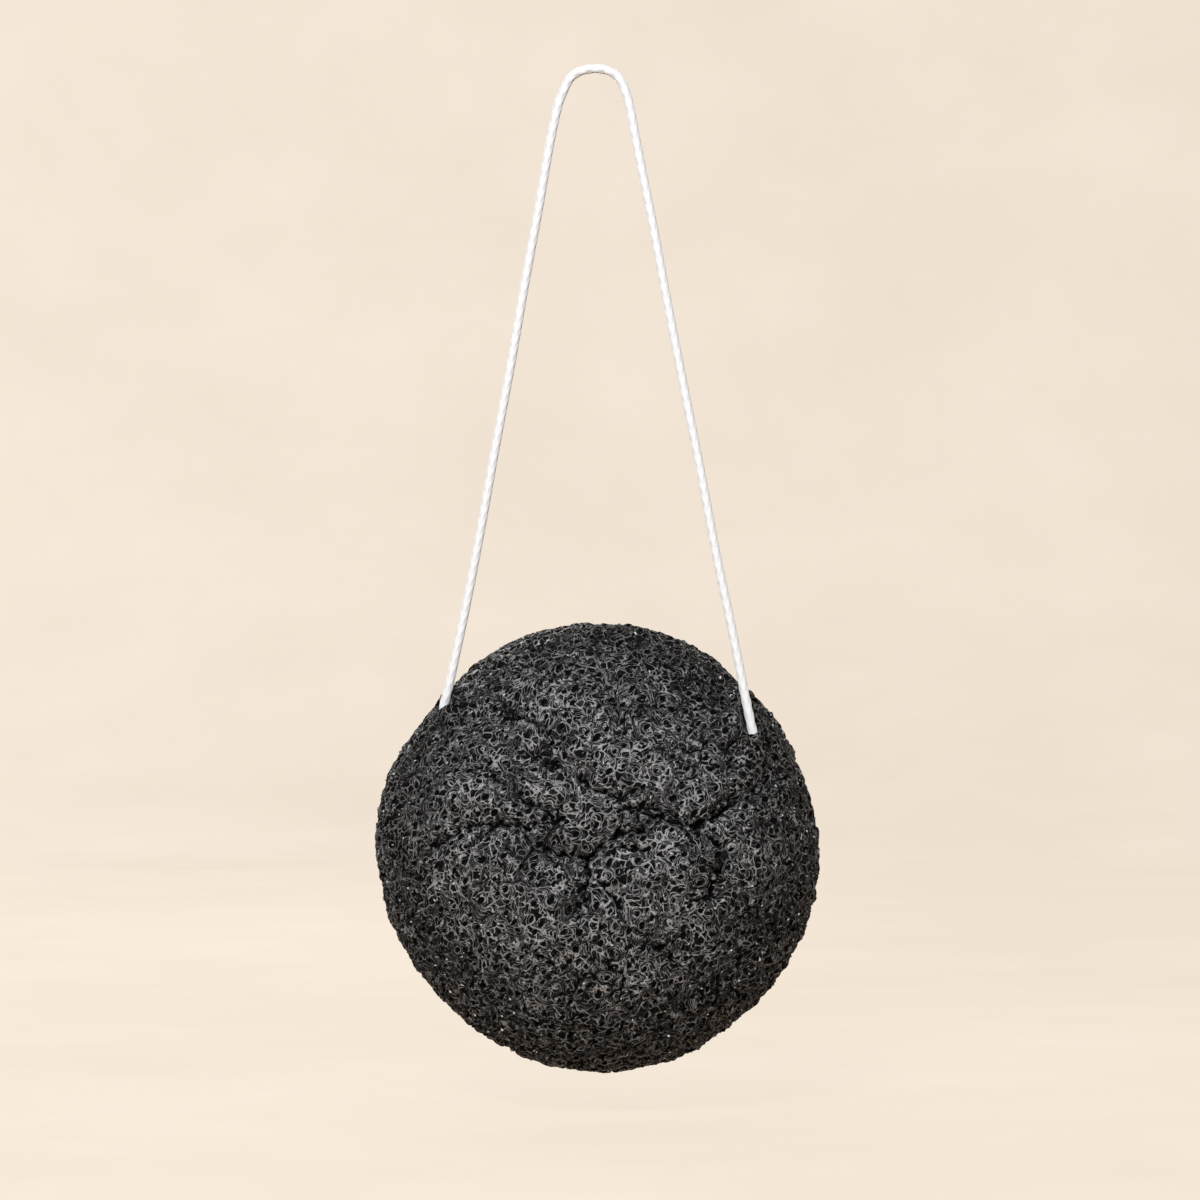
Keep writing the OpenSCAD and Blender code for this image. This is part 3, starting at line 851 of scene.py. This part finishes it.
def strand_material(s):
    """Loose strands, some of them glossy with a painted highlight"""
    t = Tree("konjac_strands")
    strand, painted_glint, _ = t.parts("SeparateColor", t.attribute("foam", 0))
    colour = t.mix((strand ** 1.2).clamp(), s.hollow, s.strand)
    # Painted highlight: the glossy strands are mixed towards near-white
    colour = t.mix(painted_glint, colour, (0.8, 0.8, 0.8))
    return t.finish(t.node("BsdfPrincipled", {}, Base_Color=colour, Roughness=0.6 - 0.3 * painted_glint,
                           Specular_IOR_Level=0.12))


def cord_material(s):
    """Fibres that run along each strand of the braid"""
    t = Tree("braided_cord")
    place = t.node("CombineXYZ", {}, t.attribute("fibre_across") * 9, t.attribute("fibre_along") * 0.7)
    fibre = t.noise(place, 1.0)
    # Painted shade in the grooves: the colour goes from the yarn on the strands' tops to the groove colour
    # between them
    colour = t.mix((t.attribute("crown") ** 1.5 * (0.75 + 0.5 * fibre)).clamp(), s.groove, s.yarn)
    bump = t.node("Bump", {}, Strength=0.3, Distance=0.00008, Height=fibre)
    return t.finish(t.node("BsdfPrincipled", {}, Base_Color=colour, Roughness=0.62, Normal=bump,
                           Specular_IOR_Level=0.35, Sheen_Weight=0.9))


# ---- Operators ----
class KONJAC_OT_cord(bpy.types.Operator):
    """Braids the free loop of cord, and the run and knot inside the foam"""
    bl_idname = "konjac.cord"
    bl_label = "Cord"

    def execute(self, context):
        s = context.scene.konjac_cord
        material = cord_material(s)
        line = smooth_curve(ROUTE, s.step)
        free = braid("braided_loop", line, PLANE_SIDE, s)
        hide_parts("hanging_cord")
        run = braid("braided_run", smooth_curve(np.linspace(LEFT_END, RIGHT_END, 5), s.step), PLANE_SIDE, s)
        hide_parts("threaded_run")
        turns = np.arange(0, KNOT_TURNS + 1e-9, 1 / 24)
        angle = 2 * math.pi * turns
        winding = (RUN_MIDDLE + np.outer(KNOT_RADIUS * np.cos(angle), PLANE_UP)
                   + np.outer(KNOT_RADIUS * np.sin(angle), np.cross(RUN_DIR, PLANE_UP))
                   + np.outer((turns - KNOT_TURNS / 2) * KNOT_PITCH, RUN_DIR))
        knot = braid("wound_knot", smooth_curve(winding, s.step), RUN_DIR, s)
        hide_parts("end_knot")
        for piece in (free, run, knot):
            piece.data.materials.append(material)
            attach(piece, "cord")
        return {"FINISHED"}


def sewn(charts, size):
    """Places, shades and faces of the two charts, which share the border of the front one"""
    front = np.arange(size * size).reshape(size, size)
    back = front.copy()
    back[1:-1, 1:-1] = size * size + np.arange((size - 2) ** 2).reshape(size - 2, size - 2)
    (front_at, front_marks), (back_at, back_marks) = charts
    places = np.concatenate([front_at.reshape(-1, 3), back_at[1:-1, 1:-1].reshape(-1, 3)])
    shades = np.concatenate([front_marks.reshape(-1, 4), back_marks[1:-1, 1:-1].reshape(-1, 4)])
    quads = []
    for grid, turned in ((front, False), (back, True)):
        a, b, c, d = grid[:-1, :-1], grid[1:, :-1], grid[1:, 1:], grid[:-1, 1:]
        quads.append(np.stack((a, d, c, b) if turned else (a, b, c, d), -1).reshape(-1, 4))
    return places, shades, np.concatenate(quads)


class KONJAC_OT_foam(bpy.types.Operator):
    """Makes the folded puff of foam with its strands, pores and mouths"""
    bl_idname = "konjac.foam"
    bl_label = "Foam"

    def execute(self, context):
        s = context.scene.konjac_foam
        rings = s.rings
        puff = Puff(s, rings)
        rng = np.random.default_rng(7)
        noises = [Lattice(seed) for seed in range(8)]
        taken = []
        pores = np.concatenate([
            scatter(puff, rng, rng.uniform(0.5, 0.7, LARGE_PORES) * MM, 1.6, taken),
            scatter(puff, rng, rng.uniform(0.34, 0.56, SMALL_PORES) * MM, 1.7, taken),
        ])
        charts, loose = [], []
        inner = slice(puff.margin, -puff.margin)
        cord_r = context.scene.konjac_cord.diameter / 2
        for is_front in (True, False):
            at, form, normals, marks, closed, flows = foam_fields(puff, pores, noises, is_front)
            at = open_mouths(puff, at, normals, cord_r)
            before = form.copy()
            form = open_mouths(puff, form, normals, cord_r + STRAND_ROOM)
            # No strand where the foam was pressed or swelled for the cord
            closed = np.maximum(closed, np.linalg.norm(form - before, axis=-1) > 0.05 * MM)
            charts.append((at[inner, inner] + puff.middle, marks[inner, inner]))
            amount = 1 if is_front else 0.5
            loose += loose_strands(puff, s, rng, form, normals, marks[..., 0], closed, flows, amount)
        places, shades, faces = sewn(charts, 2 * rings + 1)
        sponge = mesh_object("sponge_foam", places, faces)
        mark_shades(sponge.data, shades[:, :3])
        mark(sponge.data, "net", shades[:, 3])
        sponge.data.materials.append(foam_material(s))
        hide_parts("sponge_body")
        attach(sponge, "sponge")
        counts = np.cumsum([0] + [len(part[0]) for part in loose])
        places = np.concatenate([part[0] for part in loose]) + puff.middle
        faces = np.concatenate([part[1] + n for part, n in zip(loose, counts)])
        strands = mesh_object("foam_strands", places, faces)
        mark_shades(strands.data, np.concatenate([part[2] for part in loose]))
        strands.data.materials.append(strand_material(s))
        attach(strands, "sponge")
        return {"FINISHED"}


def area_lamp(name, place, size, power, colour):
    """A round lamp that points at the sponge and isn't seen itself"""
    lamp = bpy.data.lights.new(name, "AREA")
    lamp.shape, lamp.size, lamp.energy, lamp.color = "DISK", size, power, colour
    holder = bpy.data.objects.new(name, lamp)
    holder.location = place
    holder.rotation_euler = (Vector(LAMP_TARGET) - Vector(place)).to_track_quat("-Z", "Y").to_euler()
    holder.visible_camera = False
    bpy.context.scene.collection.objects.link(holder)


class KONJAC_OT_stage(bpy.types.Operator):
    """Sets up the floor, the backdrop, the lamps and the camera"""
    bl_idname = "konjac.stage"
    bl_label = "Stage"

    def execute(self, context):
        s = context.scene.konjac_stage
        scene = context.scene
        scene.view_settings.view_transform = "Standard"
        # A floor that curves up into the wall
        curve = [(BACK - BEND + BEND * math.sin(a), FLOOR + BEND * (1 - math.cos(a)))
                 for a in np.linspace(0, math.pi / 2, 24)]
        section = [(-2.0, FLOOR), *curve, (BACK, 2.0)]
        places = [(x, y, z) for y, z in section for x in (-2.5, 2.5)]
        faces = [(2 * k, 2 * k + 1, 2 * k + 3, 2 * k + 2) for k in range(len(section) - 1)]
        backdrop = mesh_object("backdrop", places, faces)
        t = Tree("pale_backdrop")
        where = t.node("TexCoord", out=3)
        x, y, _ = t.parts("SeparateXYZ", where)
        # Cloudy wall, paler towards the left, and a painted brownish shadow low down at the right
        cloud = 0.5 * t.noise(where, 7) + 0.5 * t.noise(where, 19, 5, 0.65) - 0.5
        low_down = t.node("VectorMath", {"operation": "MULTIPLY"}, where, (1, 0.2, 1))
        away = t.node("VectorMath", {"operation": "DISTANCE"}, low_down, (0.13, 0.16, -0.165), out=1)
        shade = t.ramp(away, 0.01, 0.15, 1.0, 0.0)
        share = (0.45 - 0.9 * x + 2.0 * cloud - 0.35 * shade).clamp()
        brownish = [c * k for c, k in zip(s.wall, (0.965, 0.952, 0.94))]
        tone = t.mix(share, brownish, [c * 1.05 for c in s.wall])
        glow = t.node("Emission", {}, Color=tone, Strength=1.0)
        matt = t.node("BsdfDiffuse", {}, Color=tone)
        near = ((y + 0.06).math("ABSOLUTE") * 6).clamp()
        bounce = t.node("BsdfDiffuse", {}, Color=t.mix(near, (0.66, 0.46, 0.3), (0.06, 0.055, 0.05)))
        shown = t.node("MixShader", {}, 0.07, glow, matt)
        backdrop.data.materials.append(t.finish(t.node("MixShader", {}, t.sees(), bounce, shown)))
        area_lamp("key", (-0.16, -0.83, 0.36), 0.22, 8.9, (0.985, 0.99, 1))
        area_lamp("fill", (0.75, -0.7, 0.25), 0.6, 0.2, (1, 0.99, 0.98))
        area_lamp("behind", (-0.3, 0.62, 0.3), 0.3, 2.8, (1, 0.99, 0.98))
        world = bpy.data.worlds.new("studio")
        t = Tree("studio", world)
        far = t.node("Background", {}, (*s.wall, 1), 0.95)
        light = t.node("Background", {}, (1, 0.99, 0.98, 1), 0.25)
        t.finish(t.node("MixShader", {}, t.sees(), light, far), "World")
        scene.world = world
        camera = bpy.data.cameras.new("camera")
        shot = bpy.data.objects.new("camera", camera)
        scene.collection.objects.link(shot)
        camera.sensor_width = SENSOR
        camera.lens = SENSOR * s.camera_distance / (PICTURE * PIXEL)
        shot.location = (VIEW_X, VIEW_Y - s.camera_distance, VIEW_Z)
        shot.rotation_euler = (math.pi / 2, 0, 0)
        camera.clip_start, camera.clip_end = 0.01, 20
        scene.camera = shot
        return {"FINISHED"}


class KONJAC_PT_sidebar(bpy.types.Panel):
    """Settings and steps of the sponge"""
    bl_label = "Konjac sponge"
    bl_space_type = "VIEW_3D"
    bl_region_type = "UI"
    bl_category = "Sponge"

    def draw(self, context):
        for group, operator in (("konjac_cord", "konjac.cord"), ("konjac_foam", "konjac.foam"),
                                ("konjac_stage", "konjac.stage")):
            box = self.layout.box()
            settings = getattr(context.scene, group)
            for key in settings.__annotations__:
                box.prop(settings, key)
            box.operator(operator)


CLASSES = (CordSettings, FoamSettings, StageSettings, KONJAC_OT_cord, KONJAC_OT_foam, KONJAC_OT_stage,
           KONJAC_PT_sidebar)


def register():
    for item in CLASSES:
        bpy.utils.register_class(item)
    bpy.types.Scene.konjac_cord = PointerProperty(type=CordSettings)
    bpy.types.Scene.konjac_foam = PointerProperty(type=FoamSettings)
    bpy.types.Scene.konjac_stage = PointerProperty(type=StageSettings)


def unregister():
    for key in ("konjac_cord", "konjac_foam", "konjac_stage"):
        delattr(bpy.types.Scene, key)
    for item in reversed(CLASSES):
        bpy.utils.unregister_class(item)


def main():
    register()
    bpy.ops.konjac.stage()
    bpy.ops.konjac.cord()
    bpy.ops.konjac.foam()


if __name__ == "__main__":
    main()
